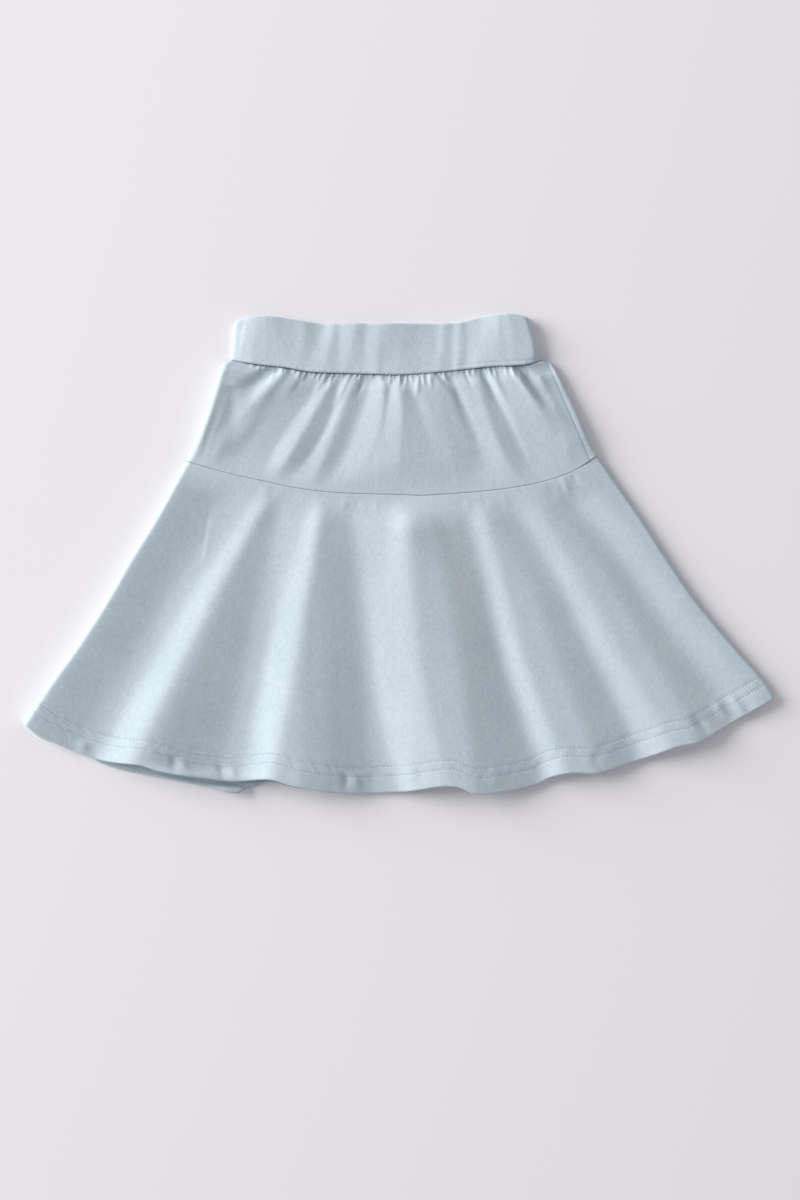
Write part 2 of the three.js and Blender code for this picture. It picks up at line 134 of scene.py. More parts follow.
def between(x, y, slope_after, slope_before, where):
    """A smooth curve through (x, y), with the slopes given on each side of every point."""
    i = np.clip(np.searchsorted(x, where, side="right") - 1, 0, len(x) - 2)
    width = x[i + 1] - x[i]
    t = np.clip((where - x[i]) / width, 0, 1)
    a = slope_after[i] * width
    b = slope_before[i] * width
    rise = y[i + 1] - y[i]
    return y[i] + t * (a + t * (3 * rise - 2 * a - b + t * (a + b - 2 * rise)))


def edge_curve(points):
    x, y = np.array(points, float).T
    slope = np.gradient(y, x)
    slope[1:-1] = (y[2:] - y[:-2]) / (x[2:] - x[:-2])
    return lambda where: between(x, y, slope[:-1], slope[1:], where)


def panel_plan(top, end, left, right, share, down):
    """The plan of a panel, blended from its four edges: share runs across and down runs down."""
    def across(points):
        x = points[0][0] + (points[-1][0] - points[0][0]) * share
        return np.stack([x, edge_curve(points)(x)], -1)

    def along(points):
        y = points[0][1] + (points[-1][1] - points[0][1]) * down
        return np.stack([edge_curve([(q, p) for p, q in reversed(points)])(y), y], -1)

    s, d = share[..., None], down[..., None]
    plan = across(top) * (1 - d) + across(end) * d + along(left) * (1 - s) + along(right) * s
    plan -= (np.array(top[0]) * (1 - s) + np.array(top[-1]) * s) * (1 - d)
    plan -= (np.array(end[0]) * (1 - s) + np.array(end[-1]) * s) * d
    plan[..., 1] += SEAM_GAP * (down - 0.5)
    return plan - OUTLINE_MIDDLE


def roll_share(rolls, side, down, top, end):
    """The share of a row that is rolled down at one side."""
    top_width = top[-1][0] - top[0][0]
    end_width = end[-1][0] - end[0][0]
    at_top, at_end = rolls[side]
    return (at_top + (at_end - at_top) * down) / (top_width + (end_width - top_width) * down)


def folded(share, down, folds, edges, top, end, rolls, profile, softness):
    """The height of a panel over its fold lines. Each row has its own places and heights."""
    def column(name):
        return np.array([fold[name] for fold in folds])

    high = np.concatenate([[edges["left"]["high"]], column("high"), [edges["right"]["high"]]])
    low = np.concatenate([[edges["left"]["low"]], column("low"), [edges["right"]["low"]]])
    top_width = top[-1][0] - top[0][0]
    end_width = end[-1][0] - end[0][0]
    starts = (column("top") - top[0][0]) / top_width
    ends = (column("end") - end[0][0]) / end_width
    even = np.linspace(0, 1, FOLD_SAMPLES + 1)
    result = np.empty_like(share)
    for row in range(len(share)):
        d = down[row, 0]
        width = top_width + (end_width - top_width) * d
        places = starts + (ends - starts) * d + column("bow") * 4 * d * (1 - d) / width
        left = roll_share(rolls, "left", d, top, end)
        right = 1 - roll_share(rolls, "right", d, top, end)
        places = np.concatenate([[left], places, [right]])
        places = np.maximum.accumulate(places + np.arange(len(places)) * 1e-5)
        line = np.interp(even, places, profile(d, high, low))
        result[row] = np.interp(share[row], even, softened(line, softness / width * FOLD_SAMPLES))
    return result


def softened(height, sigma):
    """Bend a row of even samples softly at its fold lines."""
    reach = int(3 * sigma) + 1
    weights = np.exp(-0.5 * (np.arange(-reach, reach + 1) / sigma) ** 2)
    return np.convolve(np.pad(height, reach, mode="edge"), weights / weights.sum(), "valid")


def rolled(height, share, down, rolls, top, end, seat):
    """Turn a panel down at its two sides in a quarter round, to the height of its seat."""
    left = share / roll_share(rolls, "left", down, top, end)
    right = (1 - share) / roll_share(rolls, "right", down, top, end)
    inset = np.clip(np.minimum(left, right), 0, 1)
    return seat + (height - seat) * np.sqrt(1 - (1 - inset) ** 2)


def kept_above(height, lowest):
    """Let a height run softly out on the layers that lie under it."""
    over = height - lowest
    return lowest + 0.5 * (over + np.sqrt(over ** 2 + SOFT_CONTACT ** 2))


def over_shorts(plan):
    """1 where the shorts lie under a panel, and 0 beyond them."""
    middle, waist, leg_end = -8, 132, -53
    half_width, flare = 112, 0.16
    reach = half_width + flare * (waist - plan[..., 1]) - np.abs(plan[..., 0] - middle)
    return smoothstep(reach, 0, 6) * smoothstep(plan[..., 1], leg_end - 7, leg_end)


def hem_thickness(from_hem):
    """The cloth's thickness, doubled where the hem is turned up."""
    return CLOTH + (HEM_CLOTH - CLOTH) * smoothstep(-from_hem, -HEM_DEPTH, -HEM_DEPTH + HEM_STEP)


def crease(plan, start, end, height, width, bow=0, full_start=False, spread=1):
    """A soft ridge, or a trough where the height is negative, that fades out at its ends."""
    start, end = np.array(start, float), np.array(end, float)
    run = end - start
    length = math.hypot(*run)
    along = ((plan - start) @ run) / length ** 2
    away = ((plan - start) @ np.array([-run[1], run[0]])) / length
    inside = np.clip(along, 0, 1)
    away = away - bow * 4 * inside * (1 - inside)
    ends = smoothstep(1 - along, 0, 0.6)
    ends = ends * (smoothstep(along, -0.02, 0.02) if full_start else smoothstep(along, 0, 0.4))
    reach = width * (1 + (spread - 1) * inside)
    return height * ends * np.exp(-(away / reach) ** 2)


def panel_shares(rows, rolls, top, end, roll_steps, middle_steps):
    """Shares across and down a panel, close together across where its sides are rolled."""
    turn = 1 - np.cos(np.linspace(0, math.pi / 2, roll_steps + 1)[:-1])
    left = roll_share(rolls, "left", rows, top, end)[:, None]
    right = roll_share(rolls, "right", rows, top, end)[:, None]
    middle = left + (1 - left - right) * np.linspace(0, 1, middle_steps + 1)
    share = np.concatenate([left * turn, middle, 1 - right * turn[::-1]], 1)
    return share, np.repeat(rows[:, None], share.shape[1], 1)


def distance_from(points, edge):
    """How far each point lies from the named edge, measured along the cloth."""
    axis = 0 if edge in ("top", "end") else 1
    steps = np.linalg.norm(np.diff(points, axis=axis), axis=-1)
    pad = [(1, 0), (0, 0)] if axis == 0 else [(0, 0), (1, 0)]
    total = np.cumsum(np.pad(steps, pad), axis=axis)
    if edge in ("end", "right"):
        total = (total[-1:] if axis == 0 else total[:, -1:]) - total
    return total


def cloth_normals(points):
    normal = np.cross(np.gradient(points, axis=0), np.gradient(points, axis=1))
    return normal / np.linalg.norm(normal, axis=-1, keepdims=True)


def cloth_wall(name, face, thickness, round_edges, face_up=True):
    """A closed wall of cloth from the grid of its shown face, with the named edges rounded."""
    side = 1 if face_up else -1
    thickness = np.broadcast_to(thickness, face.shape[:2])[..., None]
    other = face - side * cloth_normals(face) * thickness
    middle = (face + other) / 2
    half = (face - other) / 2
    for edge in round_edges:
        reach = np.clip(distance_from(middle, edge)[..., None] / (thickness / 2), 0, 1)
        half = half * np.maximum(np.sqrt(1 - (1 - reach) ** 2), THINNEST_EDGE)
    rows, columns = face.shape[:2]
    upper, lower = middle + side * half, middle - side * half
    points = np.concatenate([upper.reshape(-1, 3), lower.reshape(-1, 3)]) * MM
    index = np.arange(rows * columns).reshape(rows, columns)
    corners = [index[:-1, :-1], index[1:, :-1], index[1:, 1:], index[:-1, 1:]]
    top_face = np.stack(corners, -1).reshape(-1, 4)
    ring = np.concatenate([index[0, :-1], index[:-1, -1], index[-1, :0:-1], index[:0:-1, 0]])
    following = np.roll(ring, -1)
    below = rows * columns
    rim = np.stack([ring, following, following + below, ring + below], -1)
    faces = np.concatenate([top_face, top_face[:, ::-1] + below, rim])
    mesh = bpy.data.meshes.new(name)
    mesh.from_pydata(points.tolist(), [], faces.tolist())
    mesh.shade_smooth()
    inside = np.zeros(len(faces), int)
    count = len(top_face)
    inside[slice(count, 2 * count) if face_up else slice(0, count)] = 1
    mesh.polygons.foreach_set("material_index", inside)
    mesh.update()
    piece = bpy.data.objects.new(name, mesh)
    bpy.context.collection.objects.link(piece)
    return piece


def with_height(plan, height):
    return np.concatenate([plan, height[..., None]], -1)


def linear(hex_colour):
    """An sRGB hex colour as linear red, green, blue and alpha."""
    values = [int(hex_colour[i:i + 2], 16) / 255 for i in (1, 3, 5)]
    return [v / 12.92 if v <= 0.04045 else ((v + 0.055) / 1.055) ** 2.4 for v in values] + [1]


def add_node(tree, kind, settings=None, **inputs):
    """Add a node. Inputs are named with _ for a space; a socket given as input is linked."""
    node = tree.nodes.new(kind)
    for key, value in (settings or {}).items():
        setattr(node, key, value)
    for key, value in inputs.items():
        socket = node.inputs[key.replace("_", " ")]
        if isinstance(value, bpy.types.NodeSocket):
            tree.links.new(value, socket)
        else:
            socket.default_value = value
    return node


def cotton_jersey(name, light, deep):
    """Brushed single jersey: matt combed cotton with a faint bloom, so light grazes it softly.
    Its wales are 0.7 mm apart. They are drawn 1.4 mm apart, and its fibres 1.2 mm across,
    because finer ones would not show in the picture."""
    wale_spacing = 0.0014
    fibre_size = 0.0012
    material = bpy.data.materials.new(name)
    material.use_nodes = True
    tree = material.node_tree
    tree.nodes.clear()
    place = add_node(tree, "ShaderNodeTexCoord").outputs["Object"]
    wales = add_node(tree, "ShaderNodeTexWave", {"bands_direction": "X"}, Vector=place,
                     Scale=2 * math.pi / (20 * wale_spacing), Distortion=3.0, Detail=2.0, Detail_Scale=1.5)
    stretched = add_node(tree, "ShaderNodeMapping", Vector=place, Scale=(1, 0.75, 1))
    fibres = add_node(tree, "ShaderNodeTexNoise", Vector=stretched.outputs[0], Scale=1 / fibre_size,
                      Detail=2.0, Roughness=0.6)
    slubs = add_node(tree, "ShaderNodeTexNoise", Vector=stretched.outputs[0], Scale=0.4 / fibre_size,
                     Detail=3.0, Roughness=0.55)
    clouds = add_node(tree, "ShaderNodeTexNoise", Vector=place, Scale=30, Detail=2.0)

    def mixed(share, first, second):
        mix = add_node(tree, "ShaderNodeMix", {"data_type": "FLOAT"}, Factor=share, A=first, B=second)
        return mix.outputs["Result"]

    grain = mixed(0.45, fibres.outputs["Fac"], slubs.outputs["Fac"])
    grain = mixed(0.08, grain, wales.outputs["Fac"])
    grain = mixed(0.2, grain, clouds.outputs["Fac"])
    tint = add_node(tree, "ShaderNodeValToRGB", Fac=grain)
    tint.color_ramp.elements[0].position = 0.3
    tint.color_ramp.elements[0].color = linear(deep)
    tint.color_ramp.elements[1].position = 0.7
    tint.color_ramp.elements[1].color = linear(light)
    relief = mixed(0.2, fibres.outputs["Fac"], wales.outputs["Fac"])
    bump = add_node(tree, "ShaderNodeBump", Strength=0.3, Distance=0.0003, Height=relief)
    shader = add_node(tree, "ShaderNodeBsdfPrincipled", Base_Color=tint.outputs["Color"],
                      Normal=bump.outputs["Normal"], Roughness=0.9, Specular_IOR_Level=0.25,
                      Sheen_Weight=0.2, Sheen_Roughness=0.45)
    add_node(tree, "ShaderNodeOutputMaterial", Surface=shader.outputs["BSDF"])
    return material


jersey = cotton_jersey("light_blue_cotton_jersey", "#d2dee6", "#b8c7d1")
# The inside of the same cloth shows its loops, so it looks rougher. Its deeper tone is painted shade, for
# the hollow under the front hem where the back hem's inside shows
inside_jersey_painted_shade = cotton_jersey("light_blue_inside_jersey_painted_shade", "#c9d6df", "#a6b8c5")


def dress(piece, materials, slot, *nodes):
    """Give a piece its finish, outside and inside, and put it in place of its solids."""
    for material in materials:
        piece.data.materials.append(material)
    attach(piece, "root")
    if nodes:
        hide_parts(*nodes)


def flounce_profile(down, high, low):
    """Flat at the seam, and fully open within the first 25 mm below it."""
    seam = np.full(len(high), YOKE_SEAM_HEIGHT)
    seam[-2:] -= SEAM_DROP
    height = high + (low - high) * np.clip((down - 0.15) / 0.85, 0, 1)
    return seam + (height - seam) * smoothstep(down, 0, 0.12)


def flounce_rows():
    """Shares of the way down: close together at the seam, the stitches and the hem."""
    length = FLOUNCE_DEPTH
    near_seam = [0, 0.08, 0.3, 0.6, 1.1, 1.9, 3]
    body = np.linspace(4.5, length - 24, 112)
    hem = np.linspace(length - 23, length - 3, 30)
    near_edge = length - np.array([2, 1.3, 0.8, 0.4, 0.12, 0])
    return np.concatenate([near_seam, body, hem, near_edge]) / length


share, down = panel_shares(flounce_rows(), FLOUNCE_ROLLS, YOKE_SEAM, FRONT_HEM, 9, 292)
flounce_plan = panel_plan(YOKE_SEAM, FRONT_HEM, FLOUNCE_LEFT, FLOUNCE_RIGHT, share, down)
height = folded(share, down, FLOUNCE_FOLDS, FLOUNCE_EDGES, YOKE_SEAM, FRONT_HEM, FLOUNCE_ROLLS,
                flounce_profile, FOLD_SOFTNESS)
from_hem = distance_from(with_height(flounce_plan, height), "end")
hem_cloth = hem_thickness(from_hem)

# Soft creases that leave the seam or the hem, as start, end, height and half width
FLOUNCE_CREASES = [
    ((-92, 48), (-97, 37), 0.25, 2.2), ((-86, 47), (-90, 37), -0.25, 2), ((-36, 40), (-40, 27), 0.3, 2.2),
    ((-28, 39), (-29, 30), -0.25, 1.8), ((-16, 39), (-15, 28), 0.25, 2), ((46, 40), (50, 28), 0.3, 2.4),
    ((58, 41), (62, 30), -0.25, 2), ((72, 43), (78, 31), 0.25, 2.2), ((104, 50), (110, 36), -0.3, 2.4),
    ((113, 56), (121, 38), 0.6, 2.2), ((120, 58), (126, 46), -0.5, 1.8),
    ((-219, -129), (-222, -143), 0.9, 4.5), ((-211, -130), (-215, -146), -0.8, 3.5),
    ((-158, -139), (-155, -154), -1.4, 2.3), ((-151, -140), (-147, -156), 0.8, 2.6),
    ((-126, -145), (-120, -160), -1.4, 2.2), ((-118, -146), (-112, -160), 0.9, 2.6),
    ((-38, -150), (-36, -168), -1.3, 2.2), ((-31, -150), (-28, -168), 0.8, 2.8),
    ((14, -146), (17, -166), -0.6, 4), ((66, -146), (68, -168), 0.5, 5), ((98, -140), (104, -160), -0.6, 4),
    ((136, -134), (140, -154), -0.5, 4), ((203, -112), (219, -127), -1.6, 2.6),
    ((218, -100), (232, -119), 1.3, 2.8), ((229, -97), (245, -115), 1.5, 2.8),
]
for start, end, lift, width in FLOUNCE_CREASES:
    height = height + crease(flounce_plan, start, end, lift, width)
# At the lower left the hem arches up off the back one
HEM_ARCH = ((-184, -147), (-80, -157), 6.5, 4.6)
height = height + crease(flounce_plan, *HEM_ARCH, bow=-4.5)

# The stitching draws the hem in: two shallow channels, with small puckers between them.
# The puckers are listed by wavelength and depth. They sway and come and go along the hem.
NEEDLE_ROWS = (12.2, 18.6)
CHANNEL_DEPTH = 0.22
CHANNEL_HALF_WIDTH = 0.8
HEM_PUCKERS = [(9.3, 0.07), (6.1, 0.06), (14.7, 0.1), (4.3, 0.04)]
PUCKER_SWAY = 4
PUCKER_MIDDLE = 15
PUCKER_REACH = 7


def with_channels(height, from_hem, lift):
    """Move a panel up by lift along its needle rows, or down where lift is negative."""
    for row in NEEDLE_ROWS:
        height = height + lift * np.exp(-((from_hem - row) / CHANNEL_HALF_WIDTH) ** 2)
    return height


rng = np.random.default_rng(7)
height = with_channels(height, from_hem, -CHANNEL_DEPTH)
across = flounce_plan[..., 0]
pucker = np.zeros_like(height)
for wavelength, depth in HEM_PUCKERS:
    phase = rng.uniform(0, 2 * math.pi)
    sway = PUCKER_SWAY * np.sin(across / 37 + from_hem / 5 + phase)
    patches = 0.5 + 0.5 * np.sin(across / rng.uniform(14, 27) + phase)
    pucker += depth * patches * np.sin(2 * math.pi * (across + sway) / wavelength)
height = height + pucker * np.exp(-((from_hem - PUCKER_MIDDLE) / PUCKER_REACH) ** 2)
turned_up = smoothstep(-from_hem, -HEM_DEPTH - HEM_RAMP, -HEM_DEPTH)
doubled_hem = 2 * CLOTH + LAYER_GAP + 2 * (HEM_CLOTH - CLOTH) * turned_up
height = kept_above(height, np.maximum(doubled_hem, SHORTS_HEIGHT * over_shorts(flounce_plan)))
height = rolled(height, share, down, FLOUNCE_ROLLS, YOKE_SEAM, FRONT_HEM, hem_cloth + LAYER_GAP)
flounce_face = with_height(flounce_plan, height)
flounce_front = cloth_wall("front_flounce_cloth", flounce_face, hem_cloth, ("top", "end"))
dress(flounce_front, (jersey, inside_jersey_painted_shade), "knit", *(f"flounce_front_{k}" for k in range(1, 7)))

# Hem stitching
# A coverstitch: two needle rows 6.4 mm apart on the right side, in spun polyester that is
# dyed to match. Each stitch is 2.5 mm long and sinks into the cloth at both ends.

STITCH_PITCH = 2.5
STITCH_SIDES = 6
# Along the stitch: how far from its middle, how high its middle line runs, and its radius
STITCH_SHAPE = [
    (-1.0, -0.2, 0.1), (-0.65, 0.02, 0.2), (0, 0.08, 0.22), (0.65, 0.02, 0.2), (1.0, -0.2, 0.1),
]
# How far single stitches stray along the row, in pitches, and to its side, and how long they are
STRAY_ALONG = 0.1
STRAY_ASIDE = 0.14
STITCH_LENGTHS = (0.7, 1.05)


def stitched_line(face, from_edge, distance):
    """The line on a face that lies a set distance from its edge, with the face's normals."""
    normals = cloth_normals(face)
    line, up = [], []
    for i in range(face.shape[1]):
        order = from_edge[::-1, i]
        line.append([np.interp(distance, order, face[::-1, i, k]) for k in range(3)])
        up.append([np.interp(distance, order, normals[::-1, i, k]) for k in range(3)])
    return np.array(line), np.array(up)


def stitches(name, lines):
    """One mesh of small thread loops along each line."""
    points, faces = [], []
    sides = STITCH_SIDES
    uneven = np.random.default_rng(11)
    for line, up in lines:
        length = np.concatenate([[0], np.cumsum(np.linalg.norm(np.diff(line, axis=0), axis=1))])
        count = int(length[-1] / STITCH_PITCH)
        for k in range(1, count):
            at = (k + uneven.uniform(-STRAY_ALONG, STRAY_ALONG)) * STITCH_PITCH
            centre = np.array([np.interp(at, length, line[:, i]) for i in range(3)])
            ahead = np.array([np.interp(at + 0.5, length, line[:, i]) for i in range(3)]) - centre
            ahead /= np.linalg.norm(ahead)
            lift = np.array([np.interp(at, length, up[:, i]) for i in range(3)])
            across = np.cross(lift, ahead)
            across /= np.linalg.norm(across)
            centre = centre + across * uneven.uniform(-STRAY_ASIDE, STRAY_ASIDE)
            length_share = uneven.uniform(*STITCH_LENGTHS)
            first = len(points)
            for along, raised, radius in STITCH_SHAPE:
                for s in range(sides):
                    angle = 2 * math.pi * s / sides
                    ring_middle = centre + ahead * along * length_share
                    points.append(ring_middle + lift * (raised + radius * math.sin(angle))
                                  + across * radius * math.cos(angle))
            last = len(STITCH_SHAPE) - 1
            for j in range(last):
                for s in range(sides):
                    a = first + j * sides + s
                    b = first + j * sides + (s + 1) % sides
                    faces.append((a, b, b + sides, a + sides))
            faces.append(tuple(first + s for s in reversed(range(sides))))
            faces.append(tuple(first + last * sides + s for s in range(sides)))
    mesh = bpy.data.meshes.new(name)
    mesh.from_pydata((np.array(points) * MM).tolist(), [], faces)
    mesh.shade_smooth()
    piece = bpy.data.objects.new(name, mesh)
    bpy.context.collection.objects.link(piece)
    return piece


def spun_thread():
    """Spun polyester sewing thread: smoother than the cotton round it. All of it is coloured a shade deeper
    than the cloth, as painted shade for the needle holes where it is drawn into the cloth."""
    material = bpy.data.materials.new("spun_polyester_thread_painted_shade")
    material.use_nodes = True
    tree = material.node_tree
    tree.nodes.clear()
    twist_size = 0.0004
    place = add_node(tree, "ShaderNodeTexCoord").outputs["Object"]
    twist = add_node(tree, "ShaderNodeTexNoise", Vector=place, Scale=1 / twist_size, Detail=2.0)
    tint = add_node(tree, "ShaderNodeValToRGB", Fac=twist.outputs["Fac"])
    # Painted shade: these tones are deeper than the cloth's, for the shadows of the needle holes
    tint.color_ramp.elements[0].color = linear("#98abb8")
    tint.color_ramp.elements[1].color = linear("#bccbd5")
    shader = add_node(tree, "ShaderNodeBsdfPrincipled", Base_Color=tint.outputs["Color"],
                      Roughness=0.6, Sheen_Weight=0.2)
    add_node(tree, "ShaderNodeOutputMaterial", Surface=shader.outputs["BSDF"])
    return material


thread = spun_thread()
from_hem = distance_from(flounce_face, "end")
hem_lines = [stitched_line(flounce_face, from_hem, row) for row in NEEDLE_ROWS]
front_stitches = stitches("front_hem_stitches", hem_lines)
dress(front_stitches, (thread,), "knit")

# Back flounce
# The same panel as the front, lying under it with its right side down. Its hem shows below
# the front's at the lower left. Where it meets the surface it lies flat.

BACK_HEM = [
    (-262.3, -118.1), (-257, -124.2), (-249, -129.6), (-238, -133.2), (-220.6, -139),
    (-207.1, -147), (-184.7, -153.3), (-144.8, -161), (-112.6, -166.8), (-104.9, -165),
    (-93, -160.1), (-86.7, -160.1), (-73.5, -163.7), (-40.6, -166.4), (1.4, -165.9),
    (31.8, -161.6), (53.2, -165.8), (63.7, -166.2), (95.1, -161), (121.7, -152.6),
    (141.3, -152.2), (176.3, -140.6), (211.3, -130), (239.2, -114.3), (263.3, -101),
]
# Shallow hollows in its underside, as start, end, height and half width
BACK_CREASES = [
    ((-100, 40), (-190, -120), 0.28, 6), ((-60, 38), (-104, -150), 0.28, 7),
    ((-18, 36), (-30, -130), 0.25, 6), ((20, 36), (42, -140), 0.28, 7),
    ((58, 38), (112, -135), 0.25, 6), ((98, 44), (186, -118), 0.28, 6),
    ((-176, -60), (-212, -132), 0.9, 5), ((150, -50), (196, -128), 0.9, 6),
    ((-84, -100), (-88, -160), 0.8, 6), ((30, -90), (30, -162), 0.8, 6),
    ((120, -80), (130, -152), 0.7, 5),
]
# The hem curls up along its edge where it shows, most of all at its right end
HEM_CURLS = [((-192, -153), (-94, -169.8), 2.4, 2.2), ((-142, -163.2), (-82, -169), 4.8, 2.4)]
# So deep that the stitches on its right side hardly touch the surface
BACK_CHANNEL_DEPTH = 0.36


def side_inset(share, inset, width):
    """Close steps at both sides, so that their edges can be rounded."""
    steps = np.array([0, 0.08, 0.3, 0.7, 1.2]) * inset / width
    middle = np.linspace(2 * inset / width, 1 - 2 * inset / width, share)
    return np.concatenate([steps, middle, 1 - steps[::-1]])


def coarser_rows(length):
    near_seam = [0, 0.1, 0.35, 0.7, 1.3]
    body = np.linspace(3, length - 24, 60)
    hem = np.linspace(length - 22.5, length - 3, 20)
    near_edge = length - np.array([2, 1.3, 0.8, 0.4, 0.12, 0])
    return np.concatenate([near_seam, body, hem, near_edge]) / length


share, down = np.meshgrid(side_inset(190, 1.2, 520), coarser_rows(FLOUNCE_DEPTH))
plan = panel_plan(YOKE_SEAM, BACK_HEM, FLOUNCE_LEFT, FLOUNCE_RIGHT, share, down)
height = np.zeros_like(share)
for start, end, lift, width in BACK_CREASES + HEM_CURLS:
    height = height + crease(plan, start, end, lift, width)
from_hem = distance_from(with_height(plan, height), "end")
hem_cloth = hem_thickness(from_hem)
height = with_channels(height, from_hem, BACK_CHANNEL_DEPTH)
back_face = with_height(plan, height)
ALL_EDGES = ("top", "end", "left", "right")
flounce_back = cloth_wall("back_flounce_cloth", back_face, hem_cloth, ALL_EDGES, face_up=False)
# Its upward face is its inside, in the deeper jersey whose tone is painted shade under the front hem
dress(flounce_back, (jersey, inside_jersey_painted_shade), "knit", "flounce_back")
hem_lines = [stitched_line(back_face, from_hem, row) for row in NEEDLE_ROWS]
back_stitches = stitches("back_hem_stitches", [(line, -up) for line, up in hem_lines])
dress(back_stitches, (thread,), "knit")

# Front yoke
# A short hip panel of the same jersey. Its lower edge is plain and curved; its upper edge is
# gathered onto the stretched elastic, so fine gathers run into broader folds below the band.

WAIST_SEAM_HEIGHT = 6.4
YOKE_PUFF = 2.0
WAIST_SEAM = [
    (-117, 134.9), (-98.3, 131.7), (-79.5, 129.7), (-61, 126.6), (-40.5, 125.7), (-20.9, 125.1),
    (1.4, 124.6), (30, 126.6), (51.6, 129), (66.3, 130.3), (80.2, 130.8), (90.7, 131.8), (100.3, 134.5),
]
YOKE_LEFT = [
    (-117, 134.9), (-121.3, 134), (-124.1, 130.5), (-129.4, 114.4), (-133.9, 100.4), (-141.6, 79.5),
    (-148.3, 64.8),
]
YOKE_RIGHT = [
    (100.3, 134.5), (105.6, 134.2), (110.2, 128.4), (117.5, 114.4), (124.1, 100.4), (133.2, 79.5),
    (139.2, 68.3),
]
YOKE_ROLLS = {"left": (4, 5), "right": (1.2, 1.4)}
YOKE_EDGES = {"left": {"high": 2.4, "low": 3.2}, "right": {"high": 0, "low": 0.5}}
YOKE_SOFTNESS = 1.5
YOKE_DROP = (1, 2.2, 3.4)
# Fold lines, with their heights above or below the puffed cloth at the waist and at the seam
YOKE_FOLDS = [
    {"top": -113, "bow": 0.1, "end": -147.6, "high": 3.2, "low": 3},
    {"top": -109.7, "bow": -1.8, "end": -140.6, "high": 2, "low": 3},
    {"top": -106.8, "bow": -2.7, "end": -138.2, "high": 2.3, "low": 1.2},
    {"top": -95.2, "bow": -7.5, "end": -135.9, "high": 1.2, "low": 2.5},
    {"top": -87.3, "bow": -9, "end": -133.5, "high": 0, "low": 2.1},
    {"top": -80.5, "bow": -7.4, "end": -131.1, "high": -2, "low": 2.7},
    {"top": -74, "bow": -2.4, "end": -127.2, "high": 0.4, "low": -0.3},
    {"top": -57.5, "bow": -9, "end": -117.9, "high": -0.5, "low": -1.6},
    {"top": -43.6, "bow": -9, "end": -96.1, "high": -2.4, "low": -1.6},
    {"top": -41.9, "bow": -2.9, "end": -87.9, "high": -0.4, "low": 1.8},
    {"top": -39.7, "bow": 6.5, "end": -80.5, "high": -2.4, "low": -1.6},
    {"top": -27.2, "bow": -2, "end": -70.7, "high": -0.1, "low": -1.1},
    {"top": -25.6, "bow": -2.9, "end": -61.6, "high": -1, "low": 0.6},
    {"top": -20.9, "bow": 1.3, "end": -54.7, "high": -2.4, "low": -1.5},
    {"top": -18.2, "bow": 1.6, "end": -51.2, "high": -2.4, "low": -1.6},
    {"top": -10.5, "bow": 7.1, "end": -38, "high": 1.4, "low": 0.7},
    {"top": -5.1, "bow": -2.7, "end": -14.2, "high": -0.6, "low": 2.9},
    {"top": 0.2, "bow": 1.1, "end": -2.2, "high": 2.6, "low": 3},
    {"top": 4.1, "bow": 1.8, "end": 31.7, "high": 0.4, "low": 1.9},
    {"top": 9, "bow": 2.4, "end": 42, "high": 1.9, "low": 0.7},
    {"top": 24.3, "bow": -2.4, "end": 44.5, "high": 1.7, "low": 0.7},
    {"top": 29, "bow": -0.3, "end": 61.4, "high": 1.1, "low": -1.4},
    {"top": 30.8, "bow": 4.2, "end": 63.9, "high": -2.1, "low": -0.9},
    {"top": 36, "bow": 0.7, "end": 71.4, "high": -0.6, "low": -0.9},
    {"top": 52.3, "bow": -6.7, "end": 88.5, "high": -0.1, "low": 1.7},
    {"top": 53.9, "bow": 0.8, "end": 97.5, "high": -2.4, "low": -0.8},
    {"top": 59.2, "bow": 0.5, "end": 100.1, "high": 0.6, "low": -1.1},
    {"top": 64.6, "bow": -3.9, "end": 106.7, "high": 0.7, "low": -1},
    {"top": 71.8, "bow": 8.3, "end": 112.3, "high": 3.2, "low": 0.1},
    {"top": 76.4, "bow": 9, "end": 121.3, "high": -1.2, "low": 2.6},
    {"top": 86.3, "bow": 0, "end": 134.5, "high": -1.1, "low": 1.8},
    {"top": 95.4, "bow": -4.7, "end": 140, "high": -2.4, "low": 3},
    {"top": 97.2, "bow": 0.6, "end": 144, "high": -2.2, "low": 3},
]
# Sharper creases where single gathers are pinched, as start, end, height and half width
YOKE_CREASES = [
    ((-79, 129), (-117, 88), 1.9, 4.1), ((-85, 130), (-117, 109), -1.9, 3.3),
    ((-115, 116), (-119, 76), -1.0, 4.4), ((-69, 127), (-85, 103), 0.8, 4.2),
    ((-84, 129), (-104, 121), -0.7, 1.5), ((-90, 131), (-108, 126), 0.5, 1.4),
    ((-62, 127), (-78, 108), -0.5, 1.4), ((-50, 127), (-62, 104), 0.7, 1.6),
    ((-43, 127), (-53, 112), -0.8, 1.1), ((-34, 126), (-46, 100), 0.6, 1.4),
    ((-22, 126), (-31, 106), -0.9, 1.2), ((14, 124), (12, 106), 0.7, 1.3),
    ((4, 125), (1, 112), -0.8, 1.1), ((26, 126.5), (39.5, 112), -1.0, 1.4),
    ((39.5, 115), (50, 82), -0.3, 2), ((45, 129), (52, 115), -0.8, 1.1),
    ((56.5, 130.5), (72, 100), -1.0, 1.5), ((62, 130), (76, 104), 0.7, 1.5),
    ((82, 133), (97, 116), -2.3, 1.9), ((88, 123), (109, 98), -1.6, 2.3),
    ((79, 129), (100, 99), 0.8, 2.2), ((98, 124), (105, 111), 0.6, 2),
]
# The side seam shows as a fine line just inside the right edge
SIDE_SEAM = ((104, 134), (131, 72))
SIDE_SEAM_DEPTH = 0.35
SIDE_SEAM_HALF_WIDTH = 0.7
YOKE_DEPTH = 82
